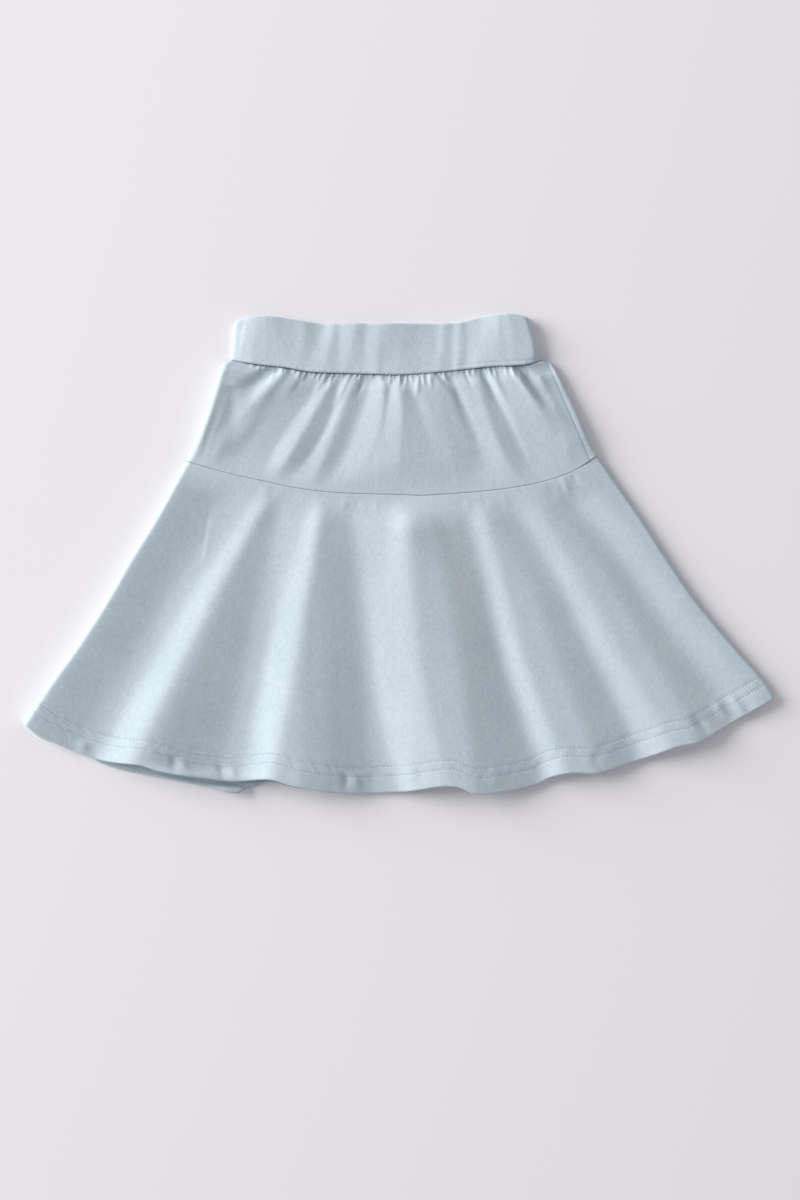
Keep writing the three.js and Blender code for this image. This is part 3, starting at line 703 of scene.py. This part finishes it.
# The gathers' places, how far each strays, and its share of the folds' lean
GATHERS = {"first": -100, "last": 89, "spacing": 3.9, "stray": 1.2, "lean": 0.55}
# The finest pinches stand closer, on both sides of the waist seam
PINCHES = {"first": -102, "last": 93, "spacing": 2.35, "stray": 0.4, "clear": 0.4}
# Where the seam's corners begin and end
LEFT_CORNER = (-112, -101)
RIGHT_CORNER = (86, 94)
# The seam draws the yoke down along its edge, except at the corners, where it bulges
SEAM_DIP = {"depth": 0.8, "reach": 1.4}
CORNER_BULGE = {"height": 1.7, "left": 0.15, "reach": 6}


def yoke_profile(down, high, low):
    """The cloth puffs out below the band and settles to the height of the yoke seam."""
    lift = YOKE_PUFF * smoothstep(down, 0, 0.14) * (1 - smoothstep(down, 0.3, 1))
    seam_to_seam = WAIST_SEAM_HEIGHT + (YOKE_SEAM_HEIGHT - WAIST_SEAM_HEIGHT) * down
    settled = np.full(len(high), seam_to_seam + lift)
    settled[-3:] -= np.array(YOKE_DROP) * (0.5 + 0.5 * smoothstep(down, 0, 0.4))
    folds = high + (low - high) * down
    return settled + folds * smoothstep(down, -0.05, 0.1) * (1 - smoothstep(down, 0.7, 1.02))


def yoke_rows():
    length = YOKE_DEPTH
    near_top = [0, 0.08, 0.25, 0.5, 0.85, 1.3, 1.8, 2.4, 3.1, 3.9, 4.8]
    body = np.linspace(5.8, length - 2.6, 72)
    near_end = length - np.array([1.8, 1.1, 0.6, 0.3, 0.08, 0])
    return np.concatenate([near_top, body, near_end]) / length


share, down = panel_shares(yoke_rows(), YOKE_ROLLS, WAIST_SEAM, YOKE_SEAM, 7, 480)
plan = panel_plan(WAIST_SEAM, YOKE_SEAM, YOKE_LEFT, YOKE_RIGHT, share, down)
height = folded(share, down, YOKE_FOLDS, YOKE_EDGES, WAIST_SEAM, YOKE_SEAM, YOKE_ROLLS,
                yoke_profile, YOKE_SOFTNESS)
for start, end, lift, width in YOKE_CREASES:
    height = height + crease(plan, start, end, lift, width, full_start=True, spread=1.7)

# Small gathers lean with the folds around them, widen as they run down, and die out
rng = np.random.default_rng(3)
waist_line = edge_curve(WAIST_SEAM)


def gather_lines(lengths):
    """Starts and ends of the gathers, at uneven steps along the waist."""
    count = int((GATHERS["last"] - GATHERS["first"]) / GATHERS["spacing"])
    tops = [fold["top"] for fold in YOKE_FOLDS]
    ends = [fold["end"] for fold in YOKE_FOLDS]
    for k in range(count + 1):
        x = GATHERS["first"] + k * GATHERS["spacing"] + rng.uniform(-GATHERS["stray"], GATHERS["stray"])
        length = lengths[0] + (lengths[1] - lengths[0]) * rng.uniform() ** 2
        lean = GATHERS["lean"] * (np.interp(x, tops, ends) - x) / YOKE_DEPTH
        start = np.array([x, waist_line(x)]) - OUTLINE_MIDDLE
        yield start, start + np.array([lean * length, -length])


def with_pinches(height, plan, side, lengths, lifts, width):
    """Pinch a panel finely along the waist seam. side is -1 for the yoke and 1 for the band."""
    for x in np.arange(PINCHES["first"], PINCHES["last"], PINCHES["spacing"]):
        x = x + rng.uniform(-PINCHES["stray"], PINCHES["stray"])
        start = np.array([x, waist_line(x) - side * PINCHES["clear"]]) - OUTLINE_MIDDLE
        end = start + (0, side * rng.uniform(*lengths))
        height = height + crease(plan, start, end, rng.uniform(*lifts), width, full_start=True)
    return height


def at_corners(plan, left=1):
    """1 at the right end of the waist seam, left at its left end, and 0 between them."""
    x = plan[..., 0]
    return smoothstep(x, *RIGHT_CORNER) + left * (1 - smoothstep(x, *LEFT_CORNER))


for start, end in gather_lines((2.8, 12)):
    lift = rng.uniform(0.3, 0.52) + 0.04 * (start[1] - end[1])
    width, spread = rng.uniform(0.7, 1), rng.uniform(1.4, 2.4)
    height = height + crease(plan, start, end, lift, width, full_start=True, spread=spread)
height = with_pinches(height, plan, -1, (1.8, 3.6), (0.3, 0.6), 0.65)
seam_start, seam_end = np.array(SIDE_SEAM)
run = seam_end - seam_start
away = ((plan - seam_start) @ np.array([-run[1], run[0]])) / math.hypot(*run)
height = height - SIDE_SEAM_DEPTH * np.exp(-(away / SIDE_SEAM_HALF_WIDTH) ** 2)
from_waist = distance_from(with_height(plan, height), "top")
dip = SEAM_DIP["depth"] * (1 - at_corners(plan))
height = height - dip * np.exp(-(from_waist / SEAM_DIP["reach"]) ** 2)
bulge = CORNER_BULGE["height"] * at_corners(plan, CORNER_BULGE["left"])
height = height + bulge * np.exp(-(from_waist / CORNER_BULGE["reach"]) ** 2)
height = kept_above(height, np.maximum(2 * CLOTH + LAYER_GAP, SHORTS_HEIGHT * over_shorts(plan)))
height = rolled(height, share, down, YOKE_ROLLS, WAIST_SEAM, YOKE_SEAM, CLOTH + LAYER_GAP)
yoke_front = cloth_wall("front_yoke_cloth", with_height(plan, height), CLOTH, ("top", "end"))
dress(yoke_front, (jersey, inside_jersey_painted_shade), "knit", "yoke_front")

# Back yoke
# The same panel of jersey under the front one, with its right side down. It is gathered at
# the waist as well, and lies flat on the surface.

share, down = np.meshgrid(side_inset(260, 1.2, 255), np.linspace(0, 1, 50) ** 1.4)
plan = panel_plan(WAIST_SEAM, YOKE_SEAM, YOKE_LEFT, YOKE_RIGHT, share, down)
height = np.zeros_like(share)
for start, end in gather_lines((10, 34)):
    lift, width = rng.uniform(0.12, 0.28), rng.uniform(1.2, 1.8)
    height = height + crease(plan, start, end, lift, width, full_start=True, spread=2)
back_face = with_height(plan, height)
yoke_back = cloth_wall("back_yoke_cloth", back_face, CLOTH, ALL_EDGES, face_up=False)
dress(yoke_back, (jersey, inside_jersey_painted_shade), "knit", "yoke_back")

# Waistband
# Jersey folded over 25 mm elastic and sewn on with the gathers, 30 mm high. The elastic draws
# it into soft upright ripples, and its upper edge is a round fold with no stitching.

BAND_CLOTH = 2.8
BACK_BAND_CLOTH = 2.3
BAND_HEIGHT = 7.4
BAND_DEPTH = 35
BAND_ROLLS = {"left": (6, 4), "right": (1.8, 1.8)}
BAND_EDGES = {"left": {"high": -1.3, "low": -0.4}, "right": {"high": -1.4, "low": -1.3}}
BAND_SOFTNESS = 1.25
BAND_TOP = [
    (-114.2, 161.4), (-110, 163.8), (-103, 165.2), (-92.7, 165.9), (-80.9, 164.8), (-70.4, 163.1),
    (-57.8, 161.3), (-47.4, 160.8), (-10, 160.7), (27.9, 160.9), (41.1, 161.5), (57.2, 165.2),
    (68.3, 166.9), (78.8, 167.3), (87.8, 165.9), (92.2, 164.2),
]
BAND_LEFT = [(-114.2, 161.4), (-116, 145.7), (-117, 134.9)]
BAND_RIGHT = [(92.2, 164.2), (94, 157.6), (97.8, 145.7), (100.3, 134.5)]
# Ripples of the band, with their heights above or below it at its top and at its seam
BAND_RIPPLES = [
    {"top": -103.7, "bow": -1.2, "end": -111, "high": 0.3, "low": 0.5},
    {"top": -97.3, "bow": -1, "end": -102.8, "high": 1.4, "low": 1.9},
    {"top": -92.1, "bow": 2, "end": -96.5, "high": 1.9, "low": 1.9},
    {"top": -85.1, "bow": -1.2, "end": -82.5, "high": 1.6, "low": 1.8},
    {"top": -80.6, "bow": -1.8, "end": -75.4, "high": 0.9, "low": 1.9},
    {"top": -68.8, "bow": -2, "end": -72.9, "high": 0.2, "low": 1.9},
    {"top": -65.7, "bow": 2, "end": -70.4, "high": 0.2, "low": 1.9},
    {"top": -57.8, "bow": 2, "end": -65.3, "high": -1.4, "low": 1.8},
    {"top": -51.6, "bow": -0.4, "end": -58.7, "high": -1.8, "low": 1.9},
    {"top": -43.8, "bow": -0.4, "end": -52.2, "high": 0, "low": 1.8},
    {"top": -42.1, "bow": 1.3, "end": -42.9, "high": -0.3, "low": 1.2},
    {"top": -30.6, "bow": -0.1, "end": -36.5, "high": 1.6, "low": 1.2},
    {"top": -28.8, "bow": 0.2, "end": -32.6, "high": 1.7, "low": 1.1},
    {"top": -21.4, "bow": -1.4, "end": -22.4, "high": 0.8, "low": 1.1},
    {"top": -11.6, "bow": -1.8, "end": -13.3, "high": 1.9, "low": 1.9},
    {"top": -5.4, "bow": -2, "end": -10.8, "high": 1.9, "low": 1.4},
    {"top": 1.1, "bow": -2, "end": -6.5, "high": 1.2, "low": 1.6},
    {"top": 4.9, "bow": -1.5, "end": 0.1, "high": 0.7, "low": 1.7},
    {"top": 13.3, "bow": -2, "end": 6.6, "high": -0.4, "low": 1.6},
    {"top": 15.1, "bow": -2, "end": 13.1, "high": -0.8, "low": 1.3},
    {"top": 26.4, "bow": 2, "end": 21.3, "high": -1.8, "low": 1.2},
    {"top": 32.8, "bow": 0.8, "end": 27.3, "high": -1.2, "low": 1.3},
    {"top": 39.1, "bow": -1.1, "end": 38, "high": -1.8, "low": 0.7},
    {"top": 43.7, "bow": 0.2, "end": 40.5, "high": -1.1, "low": 1.5},
    {"top": 46.7, "bow": 2, "end": 45.8, "high": -1.8, "low": 0.9},
    {"top": 58.1, "bow": -0.5, "end": 54.6, "high": -1.5, "low": 1.9},
    {"top": 64.5, "bow": 0.5, "end": 58.9, "high": 0, "low": 1.9},
    {"top": 70.1, "bow": 2, "end": 65.7, "high": 1.5, "low": 1.9},
    {"top": 71.9, "bow": -1.2, "end": 77.1, "high": 1.3, "low": 1.9},
    {"top": 75.5, "bow": 2, "end": 79.7, "high": 1.9, "low": 1.9},
    {"top": 89.8, "bow": 2, "end": 95, "high": 1, "low": 1.7},
]
# A fine line is pressed in above the seam's right part, and the right corner dips
PRESSED_LINE = {"depth": 0.3, "above_seam": 2.6, "half_width": 0.9}
PRESSED_FROM = (20, 60)
CORNER_DIP = {"depth": 0.8, "reach": 3}
BACK_RIPPLES = {"first": -100, "last": 90, "spacing": 17, "stray": 3, "half_width": 4.5}


def band_profile(down, high, low):
    return BAND_HEIGHT + high + (low - high) * down


def band_rows():
    length = BAND_DEPTH
    near_top = [0, 0.1, 0.3, 0.6, 1, 1.5, 2.1]
    near_end = length - np.array([2.1, 1.5, 1, 0.6, 0.3, 0.1, 0])
    return np.concatenate([near_top, np.linspace(3, length - 3, 36), near_end]) / length


share, down = panel_shares(band_rows(), BAND_ROLLS, BAND_TOP, WAIST_SEAM, 8, 250)
plan = panel_plan(BAND_TOP, WAIST_SEAM, BAND_LEFT, BAND_RIGHT, share, down)
height = folded(share, down, BAND_RIPPLES, BAND_EDGES, BAND_TOP, WAIST_SEAM, BAND_ROLLS,
                band_profile, BAND_SOFTNESS)
height = with_pinches(height, plan, 1, (1.8, 4.5), (0.12, 0.3), 0.75)
from_seam = distance_from(with_height(plan, height), "end")
pressed = PRESSED_LINE["depth"] * smoothstep(plan[..., 0], *PRESSED_FROM)
away = (from_seam - PRESSED_LINE["above_seam"]) / PRESSED_LINE["half_width"]
height = height - pressed * np.exp(-away ** 2)
dip = CORNER_DIP["depth"] * at_corners(plan, 0)
height = height - dip * np.exp(-(from_seam / CORNER_DIP["reach"]) ** 2)
height = rolled(height, share, down, BAND_ROLLS, BAND_TOP, WAIST_SEAM, BAND_CLOTH + LAYER_GAP)
# Stretched over the elastic, the same jersey looks a little lighter and smoother
band_jersey = cotton_jersey("light_blue_band_jersey", "#d5e1e9", "#bccad4")
band_front = cloth_wall("front_waistband_cloth", with_height(plan, height), BAND_CLOTH, ("top", "end"))
dress(band_front, (band_jersey, inside_jersey_painted_shade), "band_knit", "waistband_front")

share, down = np.meshgrid(side_inset(150, 3.2, 210), band_rows())
plan = panel_plan(BAND_TOP, WAIST_SEAM, BAND_LEFT, BAND_RIGHT, share, down)
height = np.zeros_like(share)
for x in np.arange(BACK_RIPPLES["first"], BACK_RIPPLES["last"], BACK_RIPPLES["spacing"]):
    x = x + rng.uniform(-BACK_RIPPLES["stray"], BACK_RIPPLES["stray"])
    lift, away = rng.uniform(0.25, 0.45), (plan[..., 0] - x) / BACK_RIPPLES["half_width"]
    height = height + lift * np.exp(-away ** 2)
back_face = with_height(plan, height)
band_back = cloth_wall("back_waistband_cloth", back_face, BACK_BAND_CLOTH, ALL_EDGES, face_up=False)
dress(band_back, (band_jersey, inside_jersey_painted_shade), "band_knit", "waistband_back")

# Inner shorts
# Two legs in thinner jersey, each one piece folded at its outer side, sewn to each other down
# the middle and into the waist seam. They lie hidden between the front and the back.

SHORTS_CLOTH = 1.0
SHORTS_REST = CLOTH + 0.35
SHORTS_LAYER_GAP = 0.3
# At the waist the legs lie a little higher, and they end just short of the seam
SHORTS_LIFT = 0.2
SHORTS_DROP = 0.16
SHORTS_LEGS = {
    "left": {"outer": [(-108, 133), (-117, 100), (-124, 40), (-129, -10), (-134, -46)],
             "middle": [(-10.2, 125), (-8.4, -8), (-11, -28), (-15, -52)]},
    "right": {"outer": [(89, 132), (99, 100), (108, 40), (114, -10), (120, -46)],
              "middle": [(-9.8, 125), (-8, -8), (-5, -28), (-1, -52)]},
}
# Thinner jersey of the same yarn, a shade deeper
shorts_jersey = cotton_jersey("light_blue_thin_jersey", "#c3d3dc", "#adbfc9")
half_circle = SHORTS_CLOTH + SHORTS_LAYER_GAP / 2
turn = np.linspace(0, 1, 9)[1:-1] * math.pi
flat = np.linspace(0, 1, 40)
for side, edges in SHORTS_LEGS.items():
    towards = 1 if side == "left" else -1
    outer_x = edge_curve([(q, p) for p, q in reversed(edges["outer"])])
    middle_y, middle_x = np.array([(q, p) for p, q in reversed(edges["middle"])]).T
    high, low = edges["outer"][0][1], edges["outer"][-1][1]
    grid = []
    for d in np.linspace(0, 1, 61):
        y_outer = high + (low - high) * d
        y_middle = middle_y[-1] + (middle_y[0] - middle_y[-1]) * d
        x_outer = float(outer_x(y_outer))
        x_middle = float(np.interp(y_middle, middle_y, middle_x))
        width = abs(x_middle - x_outer)
        rest = SHORTS_REST + SHORTS_LIFT * (1 - float(smoothstep(np.array(d), 0, 0.12)))
        back = [(width + (half_circle - width) * s, rest) for s in flat]
        fold = [(half_circle * (1 - math.sin(a)), rest + half_circle * (1 - math.cos(a))) for a in turn]
        front = [(half_circle + (width - half_circle) * s, rest + 2 * half_circle) for s in flat]
        blend = (1 - d) ** 3
        line = []
        for run, z in back + fold + front:
            x = x_outer + towards * run
            y = y_outer + (y_middle - y_outer) * (run / width)
            at_waist = float(waist_line(x)) - SHORTS_DROP - (high - y_outer)
            line.append((x, y * (1 - blend) + blend * at_waist, z))
        grid.append(line)
    face = np.array(grid) - np.append(OUTLINE_MIDDLE, 0)
    # The right leg's grid is a mirror of the left's, so its wall grows the other way
    leg = cloth_wall(f"shorts_{side}_leg_cloth", face, SHORTS_CLOTH, ("top", "end"),
                     face_up=(side == "left"))
    dress(leg, (shorts_jersey, shorts_jersey), "shorts_knit", f"shorts_{side}_leg")

# Surface, light and camera
# A pale matt board under a large soft light from the upper left, with a weak fill all round,
# and a camera straight above.

FLOOR_COLOUR = "#f7f4f7"
KEY_PLACE = (-5.25, 1.9, 2.15)
KEY_SIZE = 4.3
KEY_POWER = 488
FILL_STRENGTH = 0.44
CAMERA_HEIGHT = 1.8
VIEW_CENTRE = (0.0009, -0.0322)
VIEW_HEIGHT = 0.84

floor_mesh = bpy.data.meshes.new("floor")
floor_mesh.from_pydata([(-3, -3, 0), (3, -3, 0), (3, 3, 0), (-3, 3, 0)], [], [(0, 1, 2, 3)])
floor = bpy.data.objects.new("floor", floor_mesh)
bpy.context.collection.objects.link(floor)
# Matt painted board with a faint tooth, so that it takes soft shadows and no gloss
board = bpy.data.materials.new("pale_matt_board")
board.use_nodes = True
board_tree = board.node_tree
board_tree.nodes.clear()
board_place = add_node(board_tree, "ShaderNodeTexCoord").outputs["Object"]
board_noise = add_node(board_tree, "ShaderNodeTexNoise", Vector=board_place, Scale=400, Detail=3.0)
board_bump = add_node(board_tree, "ShaderNodeBump", Strength=0.05, Distance=0.0003,
                      Height=board_noise.outputs["Fac"])
board_shader = add_node(board_tree, "ShaderNodeBsdfPrincipled", Base_Color=linear(FLOOR_COLOUR),
                        Roughness=0.8, Specular_IOR_Level=0.2, Normal=board_bump.outputs["Normal"])
add_node(board_tree, "ShaderNodeOutputMaterial", Surface=board_shader.outputs["BSDF"])
floor_mesh.materials.append(board)

light = bpy.data.lights.new("key_light", "AREA")
light.shape = "DISK"
light.size = KEY_SIZE
light.energy = KEY_POWER
light.color = linear("#fffdfb")[:3]
lamp = bpy.data.objects.new("key_light", light)
bpy.context.collection.objects.link(lamp)
lamp.location = KEY_PLACE
lamp.rotation_mode = "QUATERNION"
lamp.rotation_quaternion = Vector([-place for place in KEY_PLACE]).to_track_quat("-Z", "Y")
world = bpy.data.worlds.new("studio")
bpy.context.scene.world = world
world.use_nodes = True
background = world.node_tree.nodes["Background"]
background.inputs["Color"].default_value = linear("#f4f6fa")
background.inputs["Strength"].default_value = FILL_STRENGTH
bpy.context.scene.view_settings.view_transform = "Standard"

lens = bpy.data.cameras.new("camera")
lens.sensor_fit = "VERTICAL"
lens.sensor_height = 24
lens.lens = 24 * CAMERA_HEIGHT / VIEW_HEIGHT
lens.clip_end = 20
camera = bpy.data.objects.new("camera", lens)
bpy.context.collection.objects.link(camera)
camera.location = (*VIEW_CENTRE, CAMERA_HEIGHT)
bpy.context.scene.camera = camera

bpy.context.view_layer.update()
